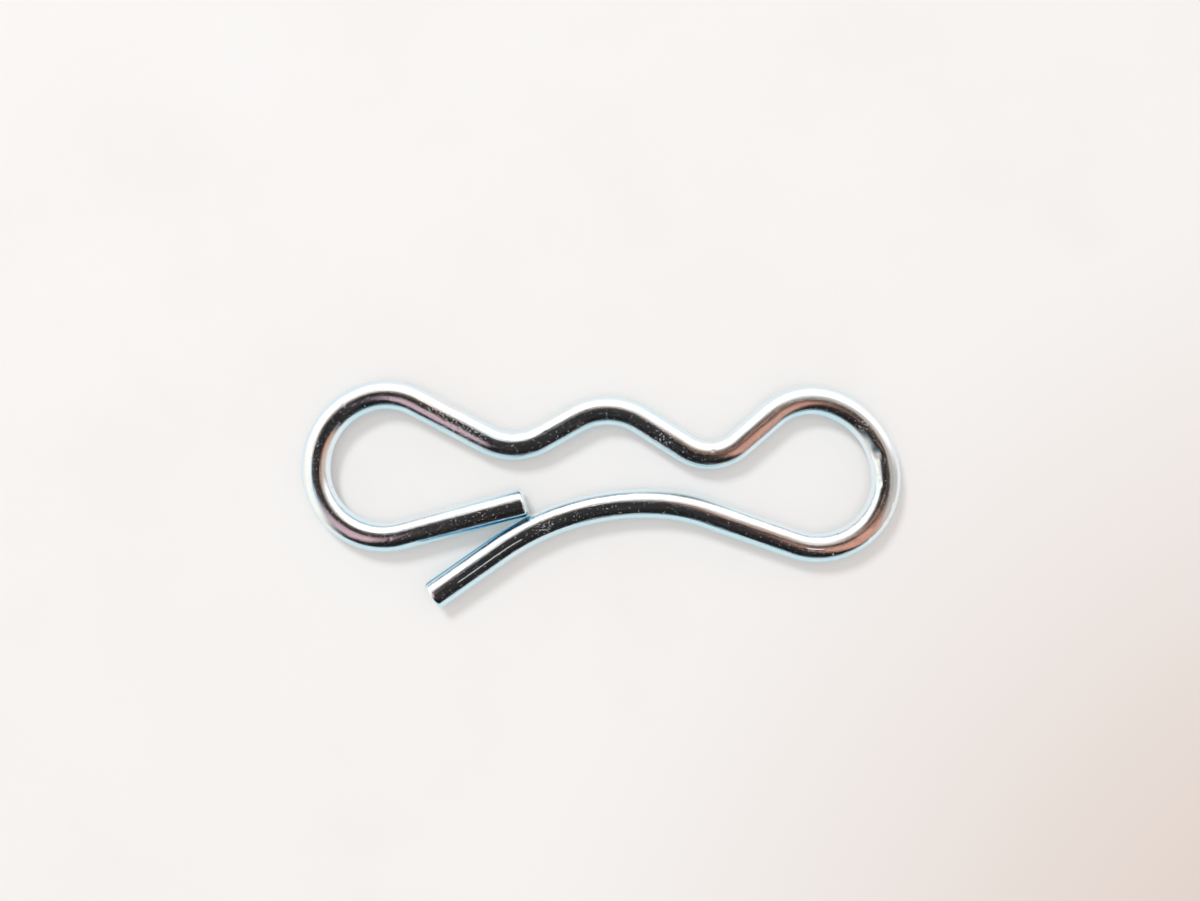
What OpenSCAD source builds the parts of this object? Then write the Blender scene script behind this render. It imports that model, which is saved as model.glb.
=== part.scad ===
// Bow tie cotter pin: one length of round spring wire, bent in a plane into two loops.
// The long leg goes through a hole across a shaft, and the crest between the loops snaps over the shaft.
// The pin lies on its side. Z = 0 is its underside, X runs along it, and the origin is the axis of the
// shaft, on the middle of the long leg under the crest. Bend radii and places are to the wire's middle.

/* [Wire] */
// Diameter of the wire
wire_d = 2.36; // [1.8:0.02:2.8]
// How much thinner the wire has drawn in its bends
bend_thinning = 0.02; // [0.01:0.01:0.08]
// Radius on the edge of the two cut ends
end_round = 0.3; // [0.1:0.05:0.6]
// Straight left between two bends that follow each other
between_bends = 0.2; // [0.1:0.05:0.6]

/* [Crest] */
// Height of the crest over the long leg
crest_rise = 7.6; // [6.5:0.05:8.3]
// Radius of the crest
crest_r = 5.15; // [3.5:0.05:6.5]

/* [Dips] */
// Distance of the left dip from the crest
left_dip_x = 7.65; // [7:0.05:9]
// Height of the left dip over the long leg
left_dip_rise = 4.75; // [4:0.05:5.6]
// Radius of the left dip
left_dip_r = 4.7; // [3:0.05:5.6]
// Distance of the right dip from the crest
right_dip_x = 8.3; // [7.2:0.05:9]
// Height of the right dip over the long leg
right_dip_rise = 4; // [3.2:0.05:5]
// Radius of the right dip
right_dip_r = 3.7; // [2.6:0.05:4.6]

/* [Left loop] */
// Distance of the loop's outermost point from the crest
left_reach = 23.75; // [21.5:0.05:28]
// Height of that point over the long leg
left_nose_y = 2.8; // [2.2:0.05:3.6]
// Radius of the bend below it, into the short leg
left_low_r = 5.55; // [4.6:0.05:6]
// Radius of the bend above it
left_side_r = 5.9; // [4.6:0.05:7]
// Radius of the bend at the top of the loop
left_top_r = 5.1; // [4:0.05:6]
// Angle over the pin's length where the bend above begins
left_side_from = 4; // [0:1:30]
// Angle over the pin's length where the bend above ends
left_side_to = 65; // [45:1:80]

/* [Right loop] */
// Distance of the loop's outermost point from the crest
right_reach = 22.7; // [22:0.05:28]
// Height of that point over the long leg
right_nose_y = 2; // [1.2:0.05:2.8]
// Radius of the bend below it, into the long leg
right_low_r = 5.6; // [4.6:0.05:6.4]
// Radius of the bend above it
right_side_r = 6.5; // [5:0.05:7.3]
// Radius of the bend at the top of the loop
right_top_r = 4.9; // [3.8:0.05:5.6]
// Angle over the pin's length where the bend above begins
right_side_from = 13; // [0:1:35]
// Angle over the pin's length where the bend above ends
right_side_to = 67; // [45:1:80]

/* [Long leg] */
// Distance of the top of the leg's bow from the crest
bow_x = 3.3; // [1.5:0.1:4.5]
// Radius of the bow on the side of the right loop
bow_right_r = 14.9; // [10:0.05:18]
// Radius of the bow on the side of the tip
bow_left_r = 20.7; // [16:0.05:25]
// Slope of the straight tip
tip_slope = 35; // [28:0.5:42]
// Length of the straight tip
tip_len = 6.7; // [3:0.1:12]

/* [Short leg] */
// Distance from the start of the straight tip back along the bow to where the short leg rests
rest_back = 3.1; // [1.5:0.05:5]
// Gap left between the end of the short leg and the long leg
rest_gap = 0.03; // [0.02:0.01:0.3]

/* [Hidden] */
$fn = 96;

QUARTER_TURN = 90;
HALF_TURN = 180;
FULL_TURN = 360;

wire_r = wire_d / 2;
bend_d = wire_d - bend_thinning;
// A straight reaches this far into the thinner bends beside it, so that they are one piece
joint_overlap = 0.02;

// The path runs outward from the crest, once to each side, and the left side is drawn mirrored.
// A bend is a circle [x, y, radius, side]: side is -1 where the path turns clockwise, 1 where it turns back.
CLOCKWISE = -1;
COUNTER = 1;
crest = [0, crest_rise - crest_r, crest_r, CLOCKWISE];
left_dip = [left_dip_x, left_dip_rise + left_dip_r, left_dip_r, COUNTER];
right_dip = [right_dip_x, right_dip_rise + right_dip_r, right_dip_r, COUNTER];
left_low = [left_reach - left_low_r, left_nose_y, left_low_r, CLOCKWISE];
right_low = [right_reach - right_low_r, right_nose_y, right_low_r, CLOCKWISE];
left_side = bend_before(left_low, left_side_r, left_side_from);
right_side = bend_before(right_low, right_side_r, right_side_from);
left_top = bend_before(left_side, left_top_r, left_side_to);
right_top = bend_before(right_side, right_top_r, right_side_to);
bow_right = [bow_x, -bow_right_r, bow_right_r, COUNTER];
bow_left = [bow_x - between_bends, -bow_left_r, bow_left_r, COUNTER];

// The short leg ends where the rounded lower edge of its cut comes down on the bow, at rest_back from
// the straight tip. rest_point is the middle of that rounding, and the leg's line through it touches
// the circle on which the rounding's middle would go round the loop.
rest_angle = QUARTER_TURN + tip_slope - rest_back / bow_left_r * HALF_TURN / PI;
rest_reach = bow_left_r + wire_r + rest_gap + end_round;
rest_point = [bow_left[0], bow_left[1]] + rest_reach * [cos(rest_angle), sin(rest_angle)];
short_leg_rounding = [-rest_point[0], rest_point[1], 0, CLOCKWISE];
left_low_rounding = [left_low[0], left_low[1], left_low_r + wire_r - end_round, CLOCKWISE];

left_fall = heading(crest, left_dip);
right_fall = heading(crest, right_dip);
left_path = concat(
    side_path(crest, left_dip, left_top, left_side, left_low, [left_side_to, left_side_from]),
    [
        bend_to(left_low, left_side_from - QUARTER_TURN, heading(left_low_rounding, short_leg_rounding)),
        straight_of(span(left_low_rounding, short_leg_rounding) + end_round)
    ]
);
right_path = concat(
    side_path(crest, right_dip, right_top, right_side, right_low, [right_side_to, right_side_from]),
    [
        bend_to(right_low, right_side_from - QUARTER_TURN, heading(right_low, bow_right)),
        straight_of(span(right_low, bow_right)),
        bend_to(bow_right, heading(right_low, bow_right), HALF_TURN),
        straight_of(between_bends),
        bend_to(bow_left, HALF_TURN, HALF_TURN + tip_slope),
        straight_of(tip_len)
    ]
);

// Centre of the bend that comes before a clockwise bend, where the two meet at an angle on their circles
function bend_before(next, r, angle) =
    let (outward = [cos(angle), sin(angle)], onward = [sin(angle), -cos(angle)])
    let (centre = [next[0], next[1]] + (next[2] - r) * outward - between_bends * onward)
    [centre[0], centre[1], r, CLOCKWISE];

// The straight that touches two bends: how far its ends differ in offset, its length and its heading
function offset_change(a, b) = b[3] * b[2] - a[3] * a[2];
function span(a, b) = sqrt(pow(b[0] - a[0], 2) + pow(b[1] - a[1], 2) - pow(offset_change(a, b), 2));
function heading(a, b) = atan2(b[1] - a[1], b[0] - a[0]) - atan2(offset_change(a, b), span(a, b));

// A piece of the path is [radius, turn in degrees], or [0, length] for a straight
function straight_of(length) = [0, length];
function bend_to(bend, from, to) = [bend[2], bend[3] * turn_between(bend[3] * (to - from))];
function turn_between(change) = (change + 2 * FULL_TURN) % FULL_TURN;

// From the crest through the dip to the loop's side bend, the same for both loops
function side_path(crest, dip, top, side, low, side_angles) =
    let (fall = heading(crest, dip), rise = heading(dip, top))
    let (side_start = side_angles[0] - QUARTER_TURN, side_end = side_angles[1] - QUARTER_TURN)
    [
        straight_of(span(crest, dip)),
        bend_to(dip, fall, rise),
        straight_of(span(dip, top)),
        bend_to(top, rise, side_start),
        straight_of(between_bends),
        bend_to(side, side_start, side_end),
        straight_of(between_bends)
    ];

// Wire along +X
module straight(length) {
    translate([-joint_overlap, 0, 0])
        rotate([0, QUARTER_TURN, 0])
            cylinder(d = wire_d, h = length + 2 * joint_overlap);
}

// Wire along +X that ends in a cut with a rounded edge
module cut_end(length) {
    full_length = length + joint_overlap;
    translate([-joint_overlap, 0, 0])
        rotate([0, QUARTER_TURN, 0])
            rotate_extrude() {
                square([wire_r, full_length - end_round]);
                square([wire_r - end_round, full_length]);
                translate([wire_r - end_round, full_length - end_round]) circle(r = end_round);
            }
}

// Wire that sets out along +X and turns, to the left where the turn is above 0
module bend(radius, turn) {
    mirror([0, turn < 0 ? 1 : 0, 0])
        translate([0, radius, 0])
            rotate([0, 0, -QUARTER_TURN])
                rotate_extrude(angle = abs(turn))
                    translate([radius, 0])
                        circle(d = bend_d);
}

// The pieces of a path, each set on the end of the one before
module wire_along(path, i = 0) {
    radius = path[i][0];
    amount = path[i][1];
    if (i == len(path) - 1) {
        cut_end(amount);
    } else if (radius == 0) {
        straight(amount);
        translate([amount, 0, 0]) wire_along(path, i + 1);
    } else {
        centre_y = sign(amount) * radius;
        bend(radius, amount);
        translate([0, centre_y, 0])
            rotate([0, 0, amount])
                translate([0, -centre_y, 0])
                    wire_along(path, i + 1);
    }
}

// One side of the pin, from where its straight leaves the crest
module side_of_pin(fall, path) {
    rotate([0, 0, QUARTER_TURN + fall])
        translate([crest_r, 0, 0])
            rotate([0, 0, -QUARTER_TURN])
                wire_along(path);
}

module cotter_pin() {
    color([0.74, 0.76, 0.78])
        translate([crest[0], crest[1], wire_r]) {
            rotate([0, 0, QUARTER_TURN + right_fall])
                rotate_extrude(angle = -left_fall - right_fall)
                    translate([crest_r, 0])
                        circle(d = bend_d);
            side_of_pin(right_fall, right_path);
            mirror([1, 0, 0]) side_of_pin(left_fall, left_path);
        }
}

cotter_pin();
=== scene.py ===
"""Looks of the bow tie cotter pin: drawn spring wire with bright blue-white zinc plate, on pale paper.

Lengths are in millimetres, as in the part's source, and MM turns them into Blender's metres.
"""
import math
import random

import bpy
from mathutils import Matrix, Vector, noise


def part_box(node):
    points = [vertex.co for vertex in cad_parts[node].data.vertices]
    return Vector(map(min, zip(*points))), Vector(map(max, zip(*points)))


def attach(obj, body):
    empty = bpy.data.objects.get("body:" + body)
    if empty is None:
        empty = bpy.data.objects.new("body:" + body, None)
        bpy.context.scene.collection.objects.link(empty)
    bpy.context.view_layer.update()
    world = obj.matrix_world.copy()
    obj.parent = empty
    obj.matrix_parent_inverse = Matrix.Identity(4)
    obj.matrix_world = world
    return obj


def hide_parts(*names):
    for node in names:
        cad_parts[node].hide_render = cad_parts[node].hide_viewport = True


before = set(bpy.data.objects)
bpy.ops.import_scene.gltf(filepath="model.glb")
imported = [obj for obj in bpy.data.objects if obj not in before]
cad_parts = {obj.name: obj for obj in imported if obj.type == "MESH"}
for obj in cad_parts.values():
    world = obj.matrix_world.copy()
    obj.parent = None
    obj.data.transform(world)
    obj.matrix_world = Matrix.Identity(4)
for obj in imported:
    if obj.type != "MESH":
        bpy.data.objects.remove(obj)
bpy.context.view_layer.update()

MM = 0.001
RIGHT_ANGLE = 90
HALF_TURN = 180
FULL_TURN = 360

# The part's own driving sizes. check_fit() stops the script if their wire doesn't fill the frame's node.
PIN = {
    "wire_d": 2.36, "bend_thinning": 0.02, "end_round": 0.3, "between_bends": 0.2,
    "crest_rise": 7.6, "crest_r": 5.15,
    "left_dip_x": 7.65, "left_dip_rise": 4.75, "left_dip_r": 4.7,
    "right_dip_x": 8.3, "right_dip_rise": 4.0, "right_dip_r": 3.7,
    "left_reach": 23.75, "left_nose_y": 2.8, "left_low_r": 5.55, "left_side_r": 5.9, "left_top_r": 5.1,
    "left_side_from": 4, "left_side_to": 65,
    "right_reach": 22.7, "right_nose_y": 2.0, "right_low_r": 5.6, "right_side_r": 6.5, "right_top_r": 4.9,
    "right_side_from": 13, "right_side_to": 67,
    "bow_x": 3.3, "bow_right_r": 14.9, "bow_left_r": 20.7, "tip_slope": 35, "tip_len": 6.7,
    "rest_back": 3.1, "rest_gap": 0.03,
}
WIRE_R = PIN["wire_d"] / 2
CLOCKWISE = -1
COUNTER = 1

# Mesh of the wire
STEP_MM = 0.09          # between sections, at most
AROUND = 64             # points in a section
EDGE_RINGS = 6          # over the rounded edge of a cut
FACE_RINGS = 5          # over the cut itself
EASE_MM = 2.4           # over which the wire thins into a bend
FIT_MM = 0.06           # how far the wire's box may be from the node's box

# The photograph's frame in pixels, and where the pin's origin lies in it
PHOTO_W = 1200
PHOTO_H = 901
PIN_ORIGIN_PX = (607.436, 503.498)
MM_PER_PX = 0.0815
FOCAL_PX = 1300         # assumed
SENSOR_MM = 36


# ---------------------------------------------------------------- the wire's path, as in the part's source
# A bend is a circle (x, y, radius, side), and a piece of the path is (radius, turn) or (0, length).

def bend_before(after, radius, angle):
    """Circle of the bend that comes before a clockwise bend, where the two meet at an angle."""
    a = math.radians(angle)
    gap = PIN["between_bends"]
    x = after[0] + (after[2] - radius) * math.cos(a) - gap * math.sin(a)
    y = after[1] + (after[2] - radius) * math.sin(a) + gap * math.cos(a)
    return (x, y, radius, CLOCKWISE)


def offset_change(a, b):
    """How far the ends of the straight that touches two bends differ in offset from their centres."""
    return b[3] * b[2] - a[3] * a[2]


def span(a, b):
    """Length of the straight that touches two bends."""
    return math.sqrt((b[0] - a[0]) ** 2 + (b[1] - a[1]) ** 2 - offset_change(a, b) ** 2)


def heading(a, b):
    """Direction of the straight that touches two bends, in degrees."""
    across = math.atan2(b[1] - a[1], b[0] - a[0])
    return math.degrees(across - math.atan2(offset_change(a, b), span(a, b)))


def bend_to(bend, start, end):
    """The piece of the path that goes round a bend from one heading to another."""
    return (bend[2], bend[3] * ((bend[3] * (end - start)) % FULL_TURN))


def loop_path(side, crest):
    """From the crest over a dip and round a loop: its first heading, its pieces and its lowest bend."""
    size = {name: PIN[side + "_" + name] for name in (
        "dip_x", "dip_rise", "dip_r", "reach", "nose_y", "low_r", "side_r", "top_r", "side_from", "side_to")}
    dip = (size["dip_x"], size["dip_rise"] + size["dip_r"], size["dip_r"], COUNTER)
    low = (size["reach"] - size["low_r"], size["nose_y"], size["low_r"], CLOCKWISE)
    flank = bend_before(low, size["side_r"], size["side_from"])
    top = bend_before(flank, size["top_r"], size["side_to"])
    fall = heading(crest, dip)
    rise = heading(dip, top)
    flank_start = size["side_to"] - RIGHT_ANGLE
    flank_end = size["side_from"] - RIGHT_ANGLE
    pieces = [
        (0, span(crest, dip)), bend_to(dip, fall, rise), (0, span(dip, top)),
        bend_to(top, rise, flank_start), (0, PIN["between_bends"]),
        bend_to(flank, flank_start, flank_end), (0, PIN["between_bends"]),
    ]
    return fall, pieces, low, flank_end


def pin_paths():
    """Both sides of the pin, outward from the crest. The left side is given mirrored."""
    crest = (0, PIN["crest_rise"] - PIN["crest_r"], PIN["crest_r"], CLOCKWISE)
    bow_right = (PIN["bow_x"], -PIN["bow_right_r"], PIN["bow_right_r"], COUNTER)
    bow_left = (PIN["bow_x"] - PIN["between_bends"], -PIN["bow_left_r"], PIN["bow_left_r"], COUNTER)

    right_fall, right, low, start = loop_path("right", crest)
    into_bow = heading(low, bow_right)
    right += [
        bend_to(low, start, into_bow), (0, span(low, bow_right)),
        bend_to(bow_right, into_bow, HALF_TURN), (0, PIN["between_bends"]),
        bend_to(bow_left, HALF_TURN, HALF_TURN + PIN["tip_slope"]), (0, PIN["tip_len"]),
    ]

    left_fall, left, low, start = loop_path("left", crest)
    back = math.degrees(PIN["rest_back"] / PIN["bow_left_r"])
    angle = math.radians(RIGHT_ANGLE + PIN["tip_slope"] - back)
    reach = PIN["bow_left_r"] + WIRE_R + PIN["rest_gap"] + PIN["end_round"]
    rounding = (-bow_left[0] - reach * math.cos(angle), bow_left[1] + reach * math.sin(angle), 0, CLOCKWISE)
    low_rounding = (low[0], low[1], low[2] + WIRE_R - PIN["end_round"], CLOCKWISE)
    left += [
        bend_to(low, start, heading(low_rounding, rounding)),
        (0, span(low_rounding, rounding) + PIN["end_round"]),
    ]
    return crest, right_fall, right, left_fall, left


def trace(crest, fall, pieces):
    """Stations (x, y, heading in radians, whether bent) along one side of the pin."""
    turn = math.radians(RIGHT_ANGLE + fall)
    x = crest[0] + crest[2] * math.cos(turn)
    y = crest[1] + crest[2] * math.sin(turn)
    h = math.radians(fall)
    stations = []
    for radius, amount in pieces:
        length = amount if radius == 0 else radius * math.radians(abs(amount))
        count = max(2, math.ceil(length / STEP_MM))
        if radius == 0:
            for i in range(count):
                s = length * i / count
                stations.append((x + s * math.cos(h), y + s * math.sin(h), h, False))
            x += length * math.cos(h)
            y += length * math.sin(h)
        else:
            side = COUNTER if amount > 0 else CLOCKWISE
            cx = x - side * radius * math.sin(h)
            cy = y + side * radius * math.cos(h)
            for i in range(count):
                g = h + side * length / radius * i / count
                on_bend = (cx + side * radius * math.sin(g), cy - side * radius * math.cos(g))
                stations.append((*on_bend, g, True))
            h += side * length / radius
            x = cx + side * radius * math.sin(h)
            y = cy - side * radius * math.cos(h)
    stations.append((x, y, h, False))
    return stations


def whole_path():
    """Stations from the short leg's end, over the crest, to the long leg's end."""
    crest, right_fall, right, left_fall, left = pin_paths()
    out = trace(crest, right_fall, right)
    back = trace(crest, left_fall, left)
    mirrored = [(-x, y, -h, bent) for x, y, h, bent in reversed(back)]
    first = RIGHT_ANGLE - left_fall
    last = RIGHT_ANGLE + right_fall
    count = math.ceil(math.radians(first - last) * crest[2] / STEP_MM)
    arc = []
    for i in range(1, count):
        a = math.radians(first + (last - first) * i / count)
        arc.append((crest[2] * math.cos(a), crest[1] + crest[2] * math.sin(a), a - math.pi / 2, True))
    return mirrored + arc + out


# ---------------------------------------------------------------- the wire's mesh

# Marks of the bending tools and of handling, in mm and degrees: place in the pin's plane, angle round the
# wire from its top, reach along the wire and round it, and depth. The angle is positive towards the left of
# the way from the short leg to the long leg. At its reach a mark has about a seventh of its depth.
MARKS = [
    # on the long leg, by the short leg's end
    (-5.6, -1.3, -5, 0.20, 0.20, 0.035), (-5.0, -1.1, 10, 0.14, 0.14, 0.028),
    (-6.3, -1.9, 4, 0.16, 0.16, 0.030), (-4.3, -0.9, -12, 0.12, 0.12, 0.022),
    (-5.3, -1.5, 24, 0.13, 0.13, 0.025), (-5.9, -1.7, 14, 0.12, 0.12, 0.030),
    # round the right loop
    (22.4, 4.2, -30, 1.00, 0.70, 0.110), (22.5, 1.6, -38, 0.40, 0.30, 0.040),
    (20.7, 6.3, -22, 0.22, 0.18, 0.050), (23.0, 0.0, 44, 0.22, 0.20, 0.045),
    (22.4, -1.6, 50, 0.22, 0.18, 0.045), (21.3, -2.8, 46, 0.18, 0.18, 0.040),
    # round the left loop
    (-11.8, 6.3, -14, 0.20, 0.14, 0.028), (-13.0, 7.0, -8, 0.16, 0.12, 0.026),
    (-12.3, 6.6, -20, 0.30, 0.10, 0.026), (-21.9, 6.9, -34, 0.18, 0.12, 0.024),
    (-21.2, 7.8, 10, 0.14, 0.12, 0.022), (-20.5, -2.0, 16, 0.20, 0.12, 0.024),
    (-17.6, -2.7, 6, 0.16, 0.12, 0.022),
    # from the left dip over the crest to the right dip
    (-4.9, 5.6, 8, 0.18, 0.14, 0.030), (0.6, 7.4, -16, 0.12, 0.12, 0.022),
    (6.2, 4.6, -8, 0.13, 0.13, 0.026), (8.6, 3.9, 14, 0.20, 0.16, 0.036),
]
MARK_WINDOW = 1.5       # how far along the wire a mark is worked out, in reaches
MARK_CUT_OFF = 0.02     # and the share of its depth under which it is left out
RANDOM_MARKS = 300
RANDOM_MARK_REACH_MM = (0.06, 0.13)
RANDOM_MARK_DEPTH_MM = (0.006, 0.020)
RANDOM_MARK_SEED = 7

SHEAR_RELIEF_MM = 0.03  # roughness of the torn half of a cut
TEAR_LUMPS_PER_MM = 3
TEAR_SHARPNESS = 0.8    # how quickly the torn half gives way to the smooth half
CUT_SEEDS = (1.7, 5.2)  # a different tear for the short leg and the long leg
BURR_MM = 0.035         # raised lip on the side where the shear let go
BURR_RINGS = 3
BURR_POWER = 4          # the higher, the narrower the lip


def mark_list(stations):
    """Every mark as (station index, angle in radians, reach along, reach round, depth)."""
    found = []
    for x, y, angle, along, around, depth in MARKS:
        nearest = min(range(len(stations)), key=lambda i: math.dist(stations[i][:2], (x, y)))
        found.append((nearest, math.radians(angle), along, around, depth))
    rng = random.Random(RANDOM_MARK_SEED)
    for _ in range(RANDOM_MARKS):
        reach = rng.uniform(*RANDOM_MARK_REACH_MM)
        found.append((
            rng.randrange(len(stations)), rng.uniform(-math.pi, math.pi), reach, reach,
            rng.uniform(*RANDOM_MARK_DEPTH_MM)))
    return found


def dent_depths(stations):
    """How far each point of each section is pressed in, as {(station, point): depth}."""
    depths = {}
    for centre, angle, along_reach, round_reach, depth in mark_list(stations):
        sections = math.ceil(MARK_WINDOW * along_reach / STEP_MM)
        for i in range(max(0, centre - sections), min(len(stations), centre + sections + 1)):
            along = 2 * (i - centre) * STEP_MM / along_reach
            for j in range(AROUND):
                turn = math.remainder(section_angle(j) - angle, 2 * math.pi)
                around = 2 * turn * WIRE_R / round_reach
                fall_off = math.exp(-(along ** 2 + around ** 2) / 2)
                if fall_off > MARK_CUT_OFF:
                    depths[i, j] = depths.get((i, j), 0) + depth * fall_off
    return depths


def draw_down(stations):
    """How much thinner the wire's radius is at each station. It changes over EASE_MM where a bend begins."""
    reach = round(EASE_MM / STEP_MM / 2)
    bent = [0] + [1 if station[3] else 0 for station in stations]
    for i in range(1, len(bent)):
        bent[i] += bent[i - 1]
    depths = []
    for i in range(len(stations)):
        low, high = max(0, i - reach), min(len(stations), i + reach + 1)
        depths.append(PIN["bend_thinning"] / 2 * (bent[high] - bent[low]) / (high - low))
    return depths


def section_angle(j):
    """Angle of a section's point from the top of the wire, in radians, from -pi at the underside."""
    return -math.pi + 2 * math.pi * j / AROUND


def section_point(station, angle, radius, push=0.0):
    """One point of a section: angle is measured from the top, and push moves the point along the wire."""
    x, y, h, _ = station
    across = radius * math.sin(angle)
    return Vector((
        x - across * math.sin(h) + push * math.cos(h),
        y + across * math.cos(h) + push * math.sin(h),
        WIRE_R + radius * math.cos(angle)))


def end_rings(station, outward, seed):
    """Rings that close an end: over its rounded edge and in over the torn cut. outward is +1 or -1."""
    rounding = PIN["end_round"]
    rings = []
    for k in range(1, EDGE_RINGS + 1):
        a = math.pi / 2 * k / EDGE_RINGS
        rings.append((WIRE_R - rounding * (1 - math.cos(a)), -rounding * (1 - math.sin(a))))
    for k in range(1, FACE_RINGS):
        rings.append(((WIRE_R - rounding) * (1 - k / FACE_RINGS), 0.0))
    result = []
    for n, (radius, push) in enumerate(rings):
        on_face = n >= EDGE_RINGS - 1
        on_lip = EDGE_RINGS - BURR_RINGS <= n < EDGE_RINGS
        ring = []
        for j in range(AROUND):
            a = section_angle(j)
            relief = 0.0
            if on_face:
                # the far half of the cut tore, and the near half was shorn smooth
                torn = max(0.0, min(1.0, 0.5 + TEAR_SHARPNESS * math.sin(a) * radius / WIRE_R))
                lump = Vector((radius * math.cos(a), radius * math.sin(a), 0)) * TEAR_LUMPS_PER_MM
                lump.z = seed
                relief -= SHEAR_RELIEF_MM * torn * (0.5 + noise.noise(lump))
            if on_lip:
                relief += BURR_MM * max(0.0, math.sin(a)) ** BURR_POWER
            ring.append(section_point(station, a, radius, outward * (push + relief)))
        result.append(ring)
    return result


def wire_rings():
    """Rings of points from one cut to the other, their places as shares of the length, and the length."""
    stations = whole_path()
    lengths = [0.0]
    for a, b in zip(stations, stations[1:]):
        lengths.append(lengths[-1] + math.dist(a[:2], b[:2]))
    total = lengths[-1]
    dents = dent_depths(stations)
    drawn = draw_down(stations)
    rings = []
    places = []
    for i, length in enumerate(lengths):
        if PIN["end_round"] <= length <= total - PIN["end_round"]:
            radius = WIRE_R - drawn[i]
            rings.append([
                section_point(stations[i], section_angle(j), radius - dents.get((i, j), 0.0))
                for j in range(AROUND)])
            places.append(length / total)
    start = end_rings(stations[0], -1, CUT_SEEDS[0])
    finish = end_rings(stations[-1], 1, CUT_SEEDS[1])
    # each ring of a cut takes one more step of the map
    step = STEP_MM / total
    before = [places[0] - step * (k + 1) for k in reversed(range(len(start)))]
    after = [places[-1] + step * (k + 1) for k in range(len(finish))]
    return start[::-1] + rings + finish, before + places + after, total


def wire_faces(places, low_place, high_place):
    """Faces between the rings and over both cuts, and the map's place for each of their corners."""
    faces = []
    corners = []
    for i, (here, there) in enumerate(zip(places, places[1:])):
        ring, after = i * AROUND, (i + 1) * AROUND
        for j in range(AROUND):
            k = (j + 1) % AROUND
            faces.append((ring + j, ring + k, after + k, after + j))
            corners += [
                (here, j / AROUND), (here, (j + 1) / AROUND), (there, (j + 1) / AROUND), (there, j / AROUND)]
    first, last = places[0], places[-1]
    last_ring = (len(places) - 1) * AROUND
    first_centre = len(places) * AROUND
    last_centre = first_centre + 1
    for j in range(AROUND):
        k = (j + 1) % AROUND
        faces.append((first_centre, k, j))
        corners += [(low_place, (j + 0.5) / AROUND), (first, (j + 1) / AROUND), (first, j / AROUND)]
        faces.append((last_centre, last_ring + j, last_ring + k))
        corners += [(high_place, (j + 0.5) / AROUND), (last, j / AROUND), (last, (j + 1) / AROUND)]
    return faces, corners


def make_wire():
    """The pin's wire as one closed mesh, with a UV map: along the wire, and round it."""
    rings, places, total = wire_rings()
    points = [point for ring in rings for point in ring]
    for ring in (rings[0], rings[-1]):
        points.append([sum(point[k] for point in ring) / AROUND for k in range(3)])
    step = STEP_MM / total
    low_place, high_place = places[0] - step, places[-1] + step
    faces, corners = wire_faces(places, low_place, high_place)

    mesh = bpy.data.meshes.new("plated_wire")
    mesh.from_pydata([tuple(p * MM for p in point) for point in points], [], faces)
    layer = mesh.uv_layers.new(name="along_and_round")
    for loop, (u, v) in zip(layer.data, corners):
        loop.uv = ((u - low_place) / (high_place - low_place), v)
    mesh.validate()
    mesh.shade_smooth()
    wire = bpy.data.objects.new("plated_wire", mesh)
    bpy.context.scene.collection.objects.link(wire)
    check_fit(wire)
    return wire, total


def check_fit(wire):
    """Stops the script if the wire doesn't fill the node that it stands for."""
    node_low, node_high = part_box("cotter_pin")
    for axis in range(3):
        values = [v.co[axis] for v in wire.data.vertices]
        for mine, node in ((min(values), node_low[axis]), (max(values), node_high[axis])):
            if abs(mine - node) > FIT_MM * MM:
                raise ValueError(f"the wire's box is {(mine - node) / MM:.3f} mm off on axis {axis}")


# ---------------------------------------------------------------- node helpers

class Nodes:
    """Short names for building a node tree."""

    def __init__(self, tree):
        self.tree = tree
        tree.nodes.clear()

    def add(self, kind, inputs=None, **settings):
        """A new node. Its inputs are given by name or number, as values or as sockets to link."""
        node = self.tree.nodes.new(kind)
        for name, value in settings.items():
            setattr(node, name, value)
        for key, value in (inputs or {}).items():
            self.feed(node.inputs[key], value)
        return node

    def feed(self, socket, value):
        if isinstance(value, bpy.types.NodeSocket):
            self.tree.links.new(value, socket)
        else:
            socket.default_value = value

    def math(self, operation, a, b=0.0, clamp=False):
        return self.add("ShaderNodeMath", {0: a, 1: b}, operation=operation, use_clamp=clamp).outputs[0]

    def ramp(self, value, low, high, to_low=0.0, to_high=1.0):
        """Smooth change from to_low to to_high while value goes from low to high, or down to high."""
        return self.add(
            "ShaderNodeMapRange", {0: value, 1: low, 2: high, 3: to_low, 4: to_high},
            interpolation_type="SMOOTHSTEP").outputs[0]

    def mix(self, factor, a, b):
        """Colour between a and b. A Mix node's colours are at inputs 6 and 7, its result at output 2."""
        return self.add("ShaderNodeMix", {0: factor, 6: a, 7: b}, data_type="RGBA").outputs[2]

    def noise(self, vector, scale, detail=2.0, roughness=0.5):
        return self.add("ShaderNodeTexNoise", {
            "Vector": vector, "Scale": scale, "Detail": detail, "Roughness": roughness}).outputs["Fac"]

    def vector_math(self, operation, a, b=(0.0, 0.0, 0.0)):
        """A number from one vector or two: DISTANCE, DOT_PRODUCT or LENGTH."""
        return self.add("ShaderNodeVectorMath", {0: a, 1: b}, operation=operation).outputs["Value"]


def rgb(r, g, b):
    return (r, g, b, 1.0)


# ---------------------------------------------------------------- materials

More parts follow.
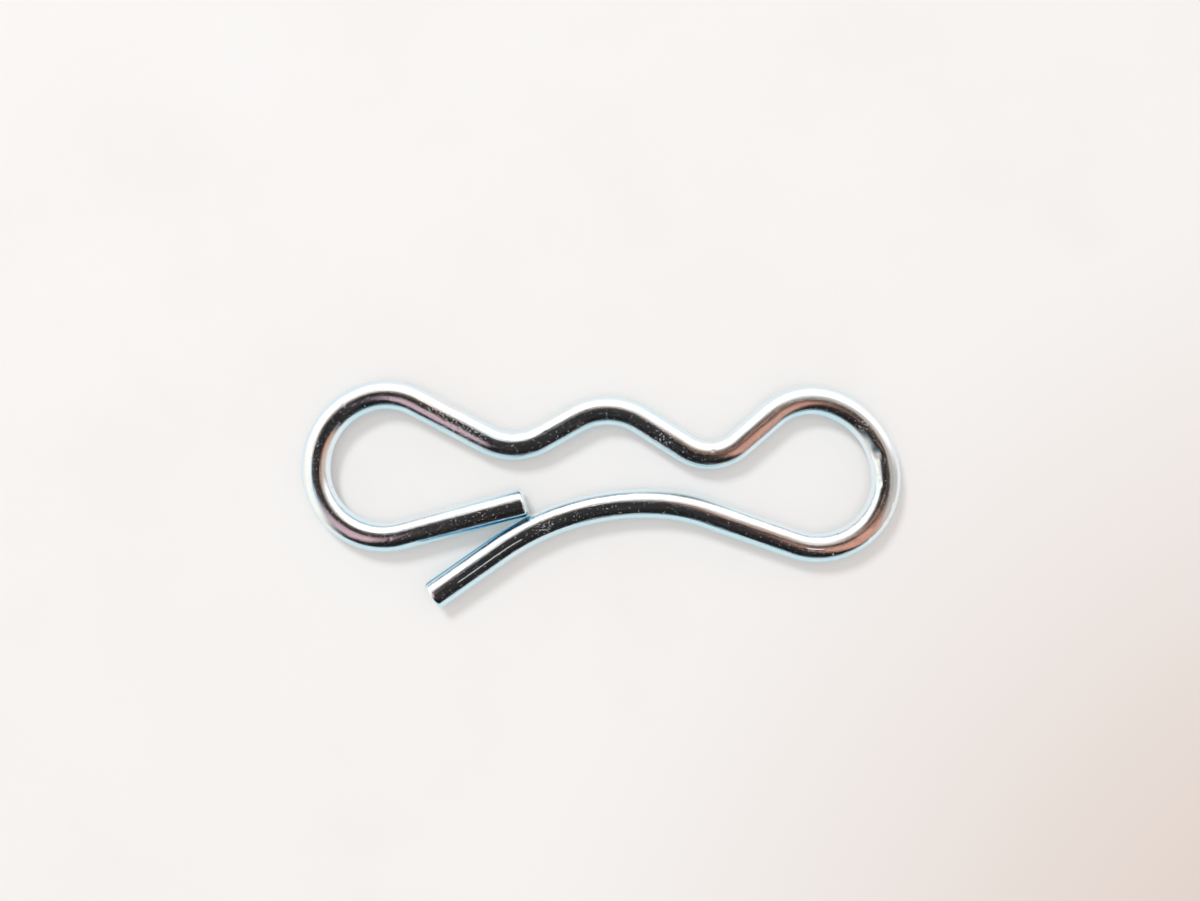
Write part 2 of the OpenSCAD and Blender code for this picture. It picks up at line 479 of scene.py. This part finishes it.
ZINC = rgb(0.79, 0.83, 0.86)
ZINC_WARM = rgb(0.82, 0.78, 0.76)
ZINC_BLUE = rgb(0.70, 0.82, 0.90)
ZINC_PIT = rgb(0.50, 0.50, 0.52)
ZINC_EDGE_TINT = rgb(0.80, 0.92, 0.96)
WARM_FROM = (0.52, 0.72)                # tint noise where the warm plate begins, and where it is full
BLUE_FROM = (0.48, 0.28)
PIT_STRENGTH = 0.35                     # how much of ZINC_PIT shows in a pit

# Noises on the wire, as lumps per mm. The first three are stretched: along the wire, and round it.
LINES = (0.22, 6.5)                     # left by the die that the wire was drawn through
FINE_LINES = (0.9, 22)
TINTS = (0.16, 1.4)
PITS_PER_MM = 6.5
CLOUDS_PER_MM = 0.42
LINES_SHARE = 0.7                       # of the drawn surface, and the fine lines have the rest
LINES_DEPTH_MM = 0.028
PITS_DEPTH_MM = 0.04
PITS_FROM = (0.68, 0.73)                # pit noise where a pit begins, and where it is full
SCUFF_PITS_FROM = (0.60, 0.65)
ROUGH_LINES = (0.3, 0.75)               # line noise where the wire is smoothest, and where it is roughest
ROUGHNESS = (0.07, 0.18)                # and how rough it is there
ROUGH_CLOUDS = (0.45, 0.7)              # cloud noise where it begins to be rougher, and where that is full
ROUGHER = 0.05                          # added there, and on scuffs

PAINTED_FLANK_REFLECTION = rgb(0.56, 0.75, 0.82)            # painted reflection: the plate is bluer on the flank that faces -Y
PAINTED_REFLECTION_FLANK = (-0.50, -0.80)             # how far a surface faces -Y where it begins, and where it is full
PAINTED_REFLECTION_CLOUDS = (0.25, 0.55)              # cloud noise where it is weakest, and where it is full
PAINTED_REFLECTION_WEAKEST = 0.55
PAINTED_SHADE_BETWEEN_LEGS = rgb(0.08, 0.36, 0.54)      # painted shade and reflection: dark blue where the legs nearly touch
# on each leg, a fade along the wire in shares of its length, and two round it in shares of a turn
PAINTED_SHADE_BETWEEN_LEGS_FADES = [
    ((0.075, 0.03), (0.63, 0.66), (0.80, 0.76)),
    ((0.915, 0.935), (0.20, 0.24), (0.34, 0.31)),
]
# scuffed patches: x and y in the pin's plane, and reach, in mm
SCUFFS = [(-5.3, -1.4, 1.3), (-13.2, 7.1, 1.9), (-11.2, 6.0, 1.7), (4.5, 5.4, 1.1), (20.6, 6.3, 0.6)]
SCUFF_CORE = 0.2                        # share of its reach over which a scuff is full
# long scratches: angle round the wire and width, as shares of a turn, and both ends, as shares of the length
SCRATCHES = [(0.532, 0.0055, 0.921, 0.976), (0.516, 0.012, 0.712, 0.728)]
SCRATCH_TAPER = 0.004                   # share of the length over which a scratch fades at each end
SCRATCH_CORE = 0.3                      # share of its width over which a scratch is full


def scuff_mask(n, place):
    """How scuffed the wire is at a place, from 0 to 1."""
    scuffed = 0.0
    for x, y, reach in SCUFFS:
        top_of_wire = Vector((x, y, 2 * WIRE_R)) * MM
        patch = n.ramp(n.vector_math("DISTANCE", place, top_of_wire), reach * MM, SCUFF_CORE * reach * MM)
        scuffed = n.math("MAXIMUM", scuffed, patch)
    return scuffed


def scratch_mask(n, along, around):
    """Where the long scratches are, from 0 to 1."""
    scratched = 0.0
    for turn, width, start, end in SCRATCHES:
        off_line = n.math("ABSOLUTE", n.math("SUBTRACT", around, turn))
        line = n.ramp(off_line, width, SCRATCH_CORE * width)
        line = n.math("MULTIPLY", line, n.ramp(along, start, start + SCRATCH_TAPER))
        line = n.math("MULTIPLY", line, n.ramp(along, end, end - SCRATCH_TAPER))
        scratched = n.math("MAXIMUM", scratched, line)
    return scratched


def painted_shade_between_legs_mask(n, along, around):
    """Where the painted shade between the legs is, from 0 to 1."""
    between_legs_shade = 0.0
    for along_fade, lower_fade, upper_fade in PAINTED_SHADE_BETWEEN_LEGS_FADES:
        round_it = n.math("MULTIPLY", n.ramp(around, *lower_fade), n.ramp(around, *upper_fade))
        between_legs_shade = n.math("MAXIMUM", between_legs_shade, n.math("MULTIPLY", n.ramp(along, *along_fade), round_it))
    return between_legs_shade


def wire_material(wire_length_mm):
    """Bright zinc on drawn wire: lines along it, pits, scuffs, scratches, tints, and painted blue reflection
    and shade on its flanks.
    """
    material = bpy.data.materials.new("zinc_plated_wire")
    material.use_nodes = True
    n = Nodes(material.node_tree)
    uv = n.add("ShaderNodeUVMap", uv_map="along_and_round").outputs[0]
    along, around, _ = n.add("ShaderNodeSeparateXYZ", {0: uv}).outputs
    place = n.add("ShaderNodeTexCoord").outputs["Object"]
    around_mm = 2 * math.pi * WIRE_R

    def on_wire(along_scale, around_scale):
        return n.add("ShaderNodeMapping", {
            "Vector": uv, "Scale": (wire_length_mm * along_scale, around_mm * around_scale, 1.0)}).outputs[0]

    lines = n.noise(on_wire(*LINES), 1.0, detail=3.0, roughness=0.65)
    fine_lines = n.noise(on_wire(*FINE_LINES), 1.0, detail=2.0, roughness=0.6)
    tint = n.noise(on_wire(*TINTS), 1.0, detail=2.0, roughness=0.5)
    pits = n.noise(place, PITS_PER_MM / MM, detail=2.0, roughness=0.7)
    cloud = n.noise(place, CLOUDS_PER_MM / MM, detail=3.0, roughness=0.6)
    pit_mask = n.ramp(pits, *PITS_FROM)
    scuffed = n.math("MULTIPLY", scuff_mask(n, place), n.ramp(pits, *SCUFF_PITS_FROM))
    scratched = scratch_mask(n, along, around)

    flank = n.add("ShaderNodeSeparateXYZ", {0: n.add("ShaderNodeNewGeometry").outputs["Normal"]}).outputs[1]
    # painted reflection: the flank that faces -Y turns cyan, in patches
    painted_reflection = n.math("MULTIPLY", n.ramp(flank, *PAINTED_REFLECTION_FLANK), n.ramp(cloud, *PAINTED_REFLECTION_CLOUDS, PAINTED_REFLECTION_WEAKEST, 1.0))

    colour = n.mix(n.ramp(tint, *WARM_FROM), ZINC, ZINC_WARM)
    colour = n.mix(n.ramp(tint, *BLUE_FROM), colour, ZINC_BLUE)
    # painted reflection: cyan on the flank that faces -Y
    colour = n.mix(painted_reflection, colour, PAINTED_FLANK_REFLECTION)
    # painted shade: dark blue where the legs nearly touch
    colour = n.mix(painted_shade_between_legs_mask(n, along, around), colour, PAINTED_SHADE_BETWEEN_LEGS)
    colour = n.mix(n.math("MULTIPLY", pit_mask, PIT_STRENGTH), colour, ZINC_PIT)

    roughness = n.ramp(lines, *ROUGH_LINES, *ROUGHNESS)
    roughness = n.math("ADD", roughness, n.math("MULTIPLY", n.ramp(cloud, *ROUGH_CLOUDS), ROUGHER))
    roughness = n.math("ADD", roughness, n.math("MULTIPLY", scuffed, ROUGHER), clamp=True)

    drawn = n.math(
        "ADD", n.math("MULTIPLY", lines, LINES_SHARE), n.math("MULTIPLY", fine_lines, 1 - LINES_SHARE))
    drawn_bump = n.add("ShaderNodeBump", {"Height": drawn, "Strength": 0.6, "Distance": LINES_DEPTH_MM * MM})
    pitted = n.math("ADD", n.math("MAXIMUM", pit_mask, scuffed), scratched)
    pit_bump = n.add("ShaderNodeBump", {
        "Height": pitted, "Strength": 0.7, "Distance": PITS_DEPTH_MM * MM, "Normal": drawn_bump.outputs[0]},
        invert=True)

    shader = n.add("ShaderNodeBsdfPrincipled", {
        "Base Color": colour, "Metallic": 1.0, "Roughness": roughness,
        "Specular Tint": ZINC_EDGE_TINT, "Normal": pit_bump.outputs[0]})
    n.add("ShaderNodeOutputMaterial", {"Surface": shader.outputs[0]})
    return material


PAPER = rgb(0.90, 0.893, 0.885)
PAINTED_SHADE_AND_MOTTLE = rgb(0.72, 0.61, 0.55)     # painted shade, warm, towards the lower right; the random mottle takes this colour too
PAINTED_SHADE_CENTRE_MM = (75, -52, 0)
PAINTED_SHADE_FADE_MM = (90, 5)                 # it begins this far from its centre, and is full this far from it
MOTTLE_PER_MM = 0.06                    # noises on the paper, as lumps per mm
FIBRES_PER_MM = 2.6
FIBRES_DEPTH_MM = 0.02
MOTTLE_FROM = (0.35, 0.75)              # mottle noise where it begins, and where it is full
MOTTLE_MOST = 0.10                      # how much of PAINTED_SHADE_AND_MOTTLE it then shows
PAPER_GLOW = rgb(1.12, 1.13, 1.12)      # light that the sheet seems to give off in the metal
PAPER_GLOW_SHARE = 0.6


def floor_material():
    """Pale paper with faint fibres and painted warm shade to one side, brighter where the metal reflects it.
    """
    material = bpy.data.materials.new("paper")
    material.use_nodes = True
    n = Nodes(material.node_tree)
    place = n.add("ShaderNodeTexCoord").outputs["Object"]
    # painted shade: the paper grows darker and warmer towards the lower right
    from_painted_shade = n.vector_math("DISTANCE", place, Vector(PAINTED_SHADE_CENTRE_MM) * MM)
    painted_shade = n.ramp(from_painted_shade, *(edge * MM for edge in PAINTED_SHADE_FADE_MM))
    patches = n.noise(place, MOTTLE_PER_MM / MM, detail=3.0, roughness=0.6)
    mottle = n.ramp(patches, *MOTTLE_FROM, 0.0, MOTTLE_MOST)
    colour = n.mix(n.math("MAXIMUM", painted_shade, mottle), PAPER, PAINTED_SHADE_AND_MOTTLE)
    fibres = n.noise(place, FIBRES_PER_MM / MM, detail=3.0, roughness=0.7)
    bump = n.add("ShaderNodeBump", {"Height": fibres, "Strength": 0.15, "Distance": FIBRES_DEPTH_MM * MM})
    paper = n.add("ShaderNodeBsdfPrincipled", {
        "Base Color": colour, "Roughness": 0.9, "Specular IOR Level": 0.1, "Normal": bump.outputs[0]})
    glow = n.add("ShaderNodeEmission", {"Color": PAPER_GLOW, "Strength": 1.0})
    in_metal = n.add("ShaderNodeLightPath").outputs["Is Glossy Ray"]
    surface = n.add("ShaderNodeMixShader", {
        0: n.math("MULTIPLY", in_metal, PAPER_GLOW_SHARE), 1: paper.outputs[0], 2: glow.outputs[0]})
    n.add("ShaderNodeOutputMaterial", {"Surface": surface.outputs[0]})
    return material


# ---------------------------------------------------------------- surroundings

# What the bright wire reflects: near things, each a soft-edged ellipse over the paper. Its name, centre
# (x, y, z) and half its length and width in mm, its turn in degrees, the softness of its edge as a share of
# its size, and the two colours that it varies between.
NEAR_THINGS = [
    ("camera", (8, -17, 75), (70, 40), -35, 0.2, (rgb(0.010, 0.009, 0.009), rgb(0.035, 0.033, 0.034))),
    ("coat", (12, -8, 95), (95, 60), -35, 0.25, (rgb(0.20, 0.15, 0.11), rgb(0.42, 0.34, 0.27))),
    ("right_thumb", (17, 8, 45), (6, 3.5), 40, 0.3, (rgb(0.40, 0.15, 0.11), rgb(0.86, 0.52, 0.40))),
    ("right_hand", (66, -46, 44), (17, 60), 48, 0.15, (rgb(0.48, 0.13, 0.10), rgb(1.00, 0.62, 0.44))),
    ("left_hand", (-40, -25, 42), (25, 12), 60, 0.2, (rgb(0.46, 0.20, 0.26), rgb(0.97, 0.76, 0.80))),
    ("sleeve", (60, 15, 90), (65, 40), -15, 0.8, (rgb(0.40, 0.31, 0.25), rgb(0.70, 0.60, 0.52))),
]
NEAR_THING_LUMPS = 5                # to half of its length and width
NEAR_THING_MIX = (0.40, 0.60)       # noise where it has its first colour, and where it has its second

# The room behind them, as the wire reflects it
WINDOW = rgb(1.50, 1.50, 1.50)      # on the far side, +Y
NEAR_SIDE = rgb(0.45, 0.68, 0.76)
NEAR_SIDE_TO_WINDOW = (-0.3, 0.1)   # how far a direction goes to +Y where the one fades into the other
LEFT_WALL = rgb(1.25, 1.20, 1.08)
RIGHT_WALL = rgb(0.70, 0.60, 0.53)
WALL_REACH = (60, 40)               # a wall fades in between these angles from its middle
WALL_FAR = (0.45, 0.05)             # and between these ways to +Y, on the side of the window
DARK = rgb(0.012, 0.011, 0.012)     # the dark room over the near side
DARK_LEFT = -140                    # its sides, as azimuths, and how softly they end
DARK_RIGHT = -40
DARK_SIDE_SOFT = 15
DARK_LOW = 85                       # its lower edge, down from the zenith
DARK_LOW_SOFT = 5
DARK_FAR = (-3, -6)                 # it fades in between these tilts past the zenith, away from the window

AMBIENT = rgb(0.62, 0.58, 0.56)     # light on the paper from all sides
OVERHEAD = rgb(1.50, 1.46, 1.43)    # and from above, down into the gap between the legs
OVERHEAD_FROM = (0.84, 0.94)        # how far a direction goes up where it begins, and where it is full
BACKDROP = rgb(0.92, 0.905, 0.885)  # what the camera sees past the paper

KEY_AZIMUTH = 122
KEY_FROM_ZENITH = 40
KEY_DISTANCE_MM = 700
KEY_SIZE_MM = 170
KEY_WATTS = 1.65
KEY_COLOUR = (0.90, 0.985, 1.03)
FLOOR_HALF_MM = 600


def sine(degrees):
    return math.sin(math.radians(degrees))


def cosine(degrees):
    return math.cos(math.radians(degrees))


def towards(azimuth, from_zenith):
    """Unit vector: azimuth from +X towards +Y, and angle down from straight up, in degrees."""
    flat = sine(from_zenith)
    return Vector((flat * cosine(azimuth), flat * sine(azimuth), cosine(from_zenith)))


def make_world():
    """The room as the wire reflects it, the light that falls on the paper, and the camera's backdrop."""
    world = bpy.data.worlds.new("room")
    world.use_nodes = True
    bpy.context.scene.world = world
    n = Nodes(world.node_tree)
    direction = n.add("ShaderNodeTexCoord").outputs["Generated"]
    _, to_far, up = n.add("ShaderNodeSeparateXYZ", {0: direction}).outputs

    def facing(azimuth):
        return n.vector_math("DOT_PRODUCT", direction, towards(azimuth, RIGHT_ANGLE))

    room = n.mix(n.ramp(to_far, *NEAR_SIDE_TO_WINDOW), NEAR_SIDE, WINDOW)
    before_window = n.ramp(to_far, *WALL_FAR)
    for azimuth, wall in ((HALF_TURN, LEFT_WALL), (0, RIGHT_WALL)):
        inside = n.ramp(facing(azimuth), *(cosine(angle) for angle in WALL_REACH))
        room = n.mix(n.math("MULTIPLY", inside, before_window), room, wall)

    soft = sine(DARK_SIDE_SOFT)
    dark = n.ramp(facing(DARK_LEFT + RIGHT_ANGLE), -soft, soft)
    dark = n.math("MULTIPLY", dark, n.ramp(facing(DARK_RIGHT - RIGHT_ANGLE), -soft, soft))
    low = cosine(DARK_LOW)
    dark = n.math("MULTIPLY", dark, n.ramp(up, low - sine(DARK_LOW_SOFT), low + sine(DARK_LOW_SOFT)))
    tilt = n.math("ARCTAN2", to_far, up)
    dark = n.math("MULTIPLY", dark, n.ramp(tilt, *(math.radians(angle) for angle in DARK_FAR)))
    room = n.mix(dark, room, DARK)

    path = n.add("ShaderNodeLightPath").outputs
    # a glossy ray that has met the paper brings light to it, and isn't seen in the wire
    seen_in_wire = n.math("MULTIPLY", path["Is Glossy Ray"], n.math("LESS_THAN", path["Diffuse Depth"], 1.0))
    light = n.mix(n.ramp(up, *OVERHEAD_FROM), AMBIENT, OVERHEAD)
    light = n.mix(seen_in_wire, light, room)
    light = n.mix(path["Is Camera Ray"], light, BACKDROP)
    background = n.add("ShaderNodeBackground", {"Color": light, "Strength": 1.0})
    n.add("ShaderNodeOutputWorld", {"Surface": background.outputs[0]})


def near_material(name, softness, colours):
    """Patchy glow that fades out at the edge of the ellipse with half axes of 1."""
    material = bpy.data.materials.new(name)
    material.use_nodes = True
    n = Nodes(material.node_tree)
    place = n.add("ShaderNodeTexCoord").outputs["Object"]
    edge = n.ramp(n.vector_math("LENGTH", place), 1 - softness, 1 + softness)
    # it doesn't block the light that reaches the paper by way of the wire
    edge = n.math("MAXIMUM", edge, n.add("ShaderNodeLightPath").outputs["Diffuse Depth"], clamp=True)
    patches = n.noise(place, NEAR_THING_LUMPS, detail=3.0, roughness=0.6)
    colour = n.mix(n.ramp(patches, *NEAR_THING_MIX), *colours)
    glow = n.add("ShaderNodeEmission", {"Color": colour, "Strength": 1.0})
    clear = n.add("ShaderNodeBsdfTransparent")
    shader = n.add("ShaderNodeMixShader", {0: edge, 1: glow.outputs[0], 2: clear.outputs[0]})
    n.add("ShaderNodeOutputMaterial", {"Surface": shader.outputs[0]})
    return material


def make_square(name, half, material):
    """A flat square that reaches half to each side."""
    mesh = bpy.data.meshes.new(name)
    corners = [(-half, -half, 0), (half, -half, 0), (half, half, 0), (-half, half, 0)]
    mesh.from_pydata(corners, [], [(0, 1, 2, 3)])
    mesh.materials.append(material)
    square = bpy.data.objects.new(name, mesh)
    bpy.context.scene.collection.objects.link(square)
    return square


def make_near_things():
    """The things over the paper that only the bright wire shows."""
    for name, centre, half_axes, turn, softness, colours in NEAR_THINGS:
        thing = make_square(name, 1 + softness, near_material(name, softness, colours))
        thing.location = Vector(centre) * MM
        thing.scale = (half_axes[0] * MM, half_axes[1] * MM, 1)
        thing.rotation_euler = (0, 0, math.radians(turn))
        thing.visible_camera = False
        thing.visible_diffuse = False
        thing.visible_shadow = False
        thing.visible_transmission = False


def make_key_light():
    """A soft lamp from the upper left. It isn't seen in the metal, where the room's window stands for it."""
    data = bpy.data.lights.new("key", "AREA")
    data.shape = "DISK"
    data.size = KEY_SIZE_MM * MM
    data.energy = KEY_WATTS
    data.color = KEY_COLOUR
    lamp = bpy.data.objects.new("key", data)
    lamp.location = towards(KEY_AZIMUTH, KEY_FROM_ZENITH) * (KEY_DISTANCE_MM * MM)
    lamp.rotation_euler = (-lamp.location).to_track_quat("-Z", "Y").to_euler()
    lamp.visible_glossy = False
    bpy.context.scene.collection.objects.link(lamp)


def make_floor():
    """The sheet of paper that the pin lies on."""
    floor = make_square("floor", FLOOR_HALF_MM * MM, floor_material())


def make_camera():
    """Straight above the paper, with the pin where the photograph has it."""
    data = bpy.data.cameras.new("camera")
    data.sensor_width = SENSOR_MM
    data.lens = FOCAL_PX / PHOTO_W * SENSOR_MM
    data.clip_start = 1 * MM
    camera = bpy.data.objects.new("camera", data)
    camera.location = (
        (PHOTO_W / 2 - PIN_ORIGIN_PX[0]) * MM_PER_PX * MM,
        (PIN_ORIGIN_PX[1] - PHOTO_H / 2) * MM_PER_PX * MM,
        (FOCAL_PX * MM_PER_PX + WIRE_R) * MM)
    bpy.context.scene.collection.objects.link(camera)
    bpy.context.scene.camera = camera


# ---------------------------------------------------------------- the scene

bpy.context.scene.view_settings.view_transform = "Standard"
make_camera()
make_world()
make_key_light()
make_near_things()
make_floor()

wire, wire_length = make_wire()
wire.data.materials.append(wire_material(wire_length))
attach(wire, "root")
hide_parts("cotter_pin")
